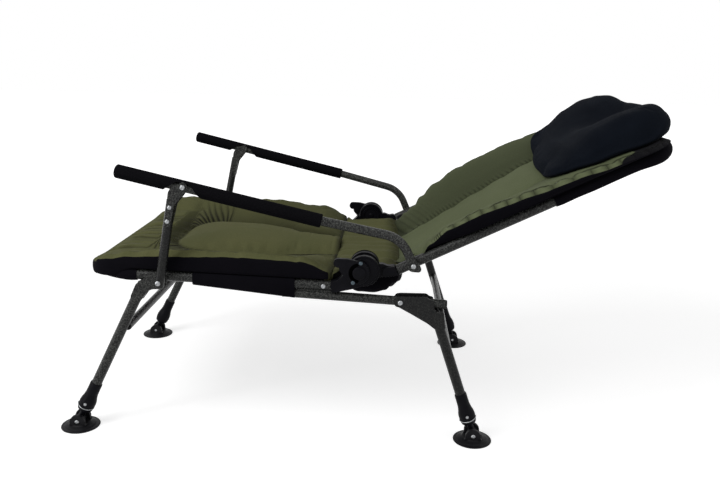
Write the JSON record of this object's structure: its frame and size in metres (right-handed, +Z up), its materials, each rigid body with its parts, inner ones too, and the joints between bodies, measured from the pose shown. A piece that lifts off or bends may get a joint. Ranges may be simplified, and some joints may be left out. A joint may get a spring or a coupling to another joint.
{
  "type": "reclining carp fishing chair",
  "caption": "Low reclining fishing chair with a padded seat, tilting padded back, pillow, linked armrests and folding telescopic legs on swivelling round feet.",
  "frame": {"origin": "centre of the bounding box at floor level", "axes": "+Z up, the sitter faces -Y, the sitter's left is +X"},
  "size_m": [0.6228, 1.1848, 0.6521],
  "materials": {
    "frame_steel": "dark grey hammertone powder coat, semi-gloss",
    "zinc": "zinc plated, satin",
    "black_plastic": "moulded, lightly grained",
    "black_foam": "closed-cell foam, matt",
    "olive_fabric": "woven polyester, matt",
    "black_fabric": "woven polyester, matt",
    "dark_fleece": "brushed fleece"
  },
  "bodies": {
    "seat_frame": {"seat_frame_tube": "frame_steel", "left_lower_rail": "frame_steel", "right_lower_rail": "frame_steel", "left_rail_bolt": "zinc", "right_rail_bolt": "zinc", "left_hinge_seat_arm": "black_plastic", "right_hinge_seat_arm": "black_plastic", "left_hinge_bolt": "zinc", "right_hinge_bolt": "zinc", "left_front_bolt": "zinc", "right_front_bolt": "zinc", "left_rear_bolt": "zinc", "right_rear_bolt": "zinc", "seat_sling": "black_fabric", "seat_cushion": "olive_fabric"},
    "back_frame": {"back_frame_tube": "frame_steel", "left_hinge_back_arm": "black_plastic", "right_hinge_back_arm": "black_plastic", "left_arm_bolt": "zinc", "right_arm_bolt": "zinc", "back_sling": "black_fabric", "back_cushion": "olive_fabric", "head_pillow": "dark_fleece", "lumbar_pad": "olive_fabric"},
    "front_legs": {"left_front_leg": "frame_steel", "right_front_leg": "frame_steel", "front_crossbar": "frame_steel", "left_front_leg_collar": "black_plastic", "right_front_leg_collar": "black_plastic"},
    "rear_legs": {"left_rear_leg": "frame_steel", "right_rear_leg": "frame_steel", "rear_crossbar": "frame_steel", "left_rear_leg_collar": "black_plastic", "right_rear_leg_collar": "black_plastic"},
    "left_arm": {"left_arm_tube": "frame_steel", "left_arm_grip": "black_foam"},
    "left_post": {"left_post": "frame_steel", "left_post_head": "frame_steel", "left_post_bolt": "zinc"},
    "left_knob": {"left_hinge_knob": "black_plastic"},
    "right_arm": {"right_arm_tube": "frame_steel", "right_arm_grip": "black_foam"},
    "right_post": {"right_post": "frame_steel", "right_post_head": "frame_steel", "right_post_bolt": "zinc"},
    "right_knob": {"right_hinge_knob": "black_plastic"},
    "left_front_slide": {"left_front_lower_leg": "black_plastic"},
    "left_front_foot": {"left_front_foot": "black_plastic"},
    "left_front_button": {"left_front_lock_button": "zinc"},
    "right_front_slide": {"right_front_lower_leg": "black_plastic"},
    "right_front_foot": {"right_front_foot": "black_plastic"},
    "right_front_button": {"right_front_lock_button": "zinc"},
    "left_rear_slide": {"left_rear_lower_leg": "black_plastic"},
    "left_rear_foot": {"left_rear_foot": "black_plastic"},
    "left_rear_button": {"left_rear_lock_button": "zinc"},
    "right_rear_slide": {"right_rear_lower_leg": "black_plastic"},
    "right_rear_foot": {"right_rear_foot": "black_plastic"},
    "right_rear_button": {"right_rear_lock_button": "zinc"}
  },
  "joints": [
    {"name": "back_recline", "type": "hinge", "parent": "seat_frame", "child": "back_frame", "pos_m": [0, 0.01221, 0.3473], "axis": [1, 0, 0], "range_deg": [0, 138], "deforming": ["lumbar_pad"]},
    {"name": "left_arm_pivot", "type": "hinge", "parent": "back_frame", "child": "left_arm", "pos_m": [0.258, 0.10481, 0.3535], "axis": [1, 0, 0], "range_deg": [-127, 1]},
    {"name": "left_post_pivot", "type": "hinge", "parent": "seat_frame", "child": "left_post", "pos_m": [0.2845, -0.37439, 0.3145], "axis": [1, 0, 0], "range_deg": [-1, 60]},
    {"name": "left_knob_turn", "type": "hinge", "parent": "seat_frame", "child": "left_knob", "pos_m": [0.28, 0.01221, 0.3473], "axis": [1, 0, 0], "range_deg": [-60, 30]},
    {"name": "right_arm_pivot", "type": "hinge", "parent": "back_frame", "child": "right_arm", "pos_m": [-0.258, 0.10481, 0.3535], "axis": [1, 0, 0], "range_deg": [-127, 1]},
    {"name": "right_post_pivot", "type": "hinge", "parent": "seat_frame", "child": "right_post", "pos_m": [-0.2845, -0.37439, 0.3145], "axis": [1, 0, 0], "range_deg": [-1, 60]},
    {"name": "right_knob_turn", "type": "hinge", "parent": "seat_frame", "child": "right_knob", "pos_m": [-0.28, 0.01221, 0.3473], "axis": [1, 0, 0], "range_deg": [-60, 30]},
    {"name": "front_leg_fold", "type": "hinge", "parent": "seat_frame", "child": "front_legs", "pos_m": [0, -0.37439, 0.3145], "axis": [1, 0, 0], "range_deg": [0, 104]},
    {"name": "rear_leg_fold", "type": "hinge", "parent": "seat_frame", "child": "rear_legs", "pos_m": [0, 0.08201, 0.2849], "axis": [-1, 0, 0], "range_deg": [0, 80]},
    {"name": "left_front_leg_extend", "type": "slide", "parent": "front_legs", "child": "left_front_slide", "axis": [0, 0.4404, 0.8978], "range_m": [-0.08, 0]},
    {"name": "left_front_foot_swivel", "type": "hinge", "parent": "left_front_slide", "child": "left_front_foot", "pos_m": [0.262, -0.55439, 0.016], "axis": [1, 0, 0], "range_deg": [-25, 25]},
    {"name": "left_front_button_press", "type": "slide", "parent": "front_legs", "child": "left_front_button", "axis": [-1, 0, 0], "range_m": [0, 0.002], "stiffness_N_per_m": 400, "springref_m": -0.001},
    {"name": "right_front_leg_extend", "type": "slide", "parent": "front_legs", "child": "right_front_slide", "axis": [0, 0.4404, 0.8978], "range_m": [-0.08, 0]},
    {"name": "right_front_foot_swivel", "type": "hinge", "parent": "right_front_slide", "child": "right_front_foot", "pos_m": [-0.262, -0.55439, 0.016], "axis": [1, 0, 0], "range_deg": [-25, 25]},
    {"name": "right_front_button_press", "type": "slide", "parent": "front_legs", "child": "right_front_button", "axis": [1, 0, 0], "range_m": [0, 0.002], "stiffness_N_per_m": 400, "springref_m": -0.001},
    {"name": "left_rear_leg_extend", "type": "slide", "parent": "rear_legs", "child": "left_rear_slide", "axis": [0, -0.3231, 0.9464], "range_m": [-0.08, 0]},
    {"name": "left_rear_foot_swivel", "type": "hinge", "parent": "left_rear_slide", "child": "left_rear_foot", "pos_m": [0.262, 0.23361, 0.016], "axis": [1, 0, 0], "range_deg": [-25, 25]},
    {"name": "left_rear_button_press", "type": "slide", "parent": "rear_legs", "child": "left_rear_button", "axis": [-1, 0, 0], "range_m": [0, 0.002], "stiffness_N_per_m": 400, "springref_m": -0.001},
    {"name": "right_rear_leg_extend", "type": "slide", "parent": "rear_legs", "child": "right_rear_slide", "axis": [0, -0.3231, 0.9464], "range_m": [-0.08, 0]},
    {"name": "right_rear_foot_swivel", "type": "hinge", "parent": "right_rear_slide", "child": "right_rear_foot", "pos_m": [-0.262, 0.23361, 0.016], "axis": [1, 0, 0], "range_deg": [-25, 25]},
    {"name": "right_rear_button_press", "type": "slide", "parent": "rear_legs", "child": "right_rear_button", "axis": [1, 0, 0], "range_m": [0, 0.002], "stiffness_N_per_m": 400, "springref_m": -0.001}
  ],
  "couplings": [
    {"joint": "left_arm_pivot", "follows": "back_recline", "ratio": -0.91119},
    {"joint": "left_post_pivot", "follows": "back_recline", "ratio": 0.42809},
    {"joint": "right_arm_pivot", "follows": "back_recline", "ratio": -0.91119},
    {"joint": "right_post_pivot", "follows": "back_recline", "ratio": 0.42809}
  ]
}
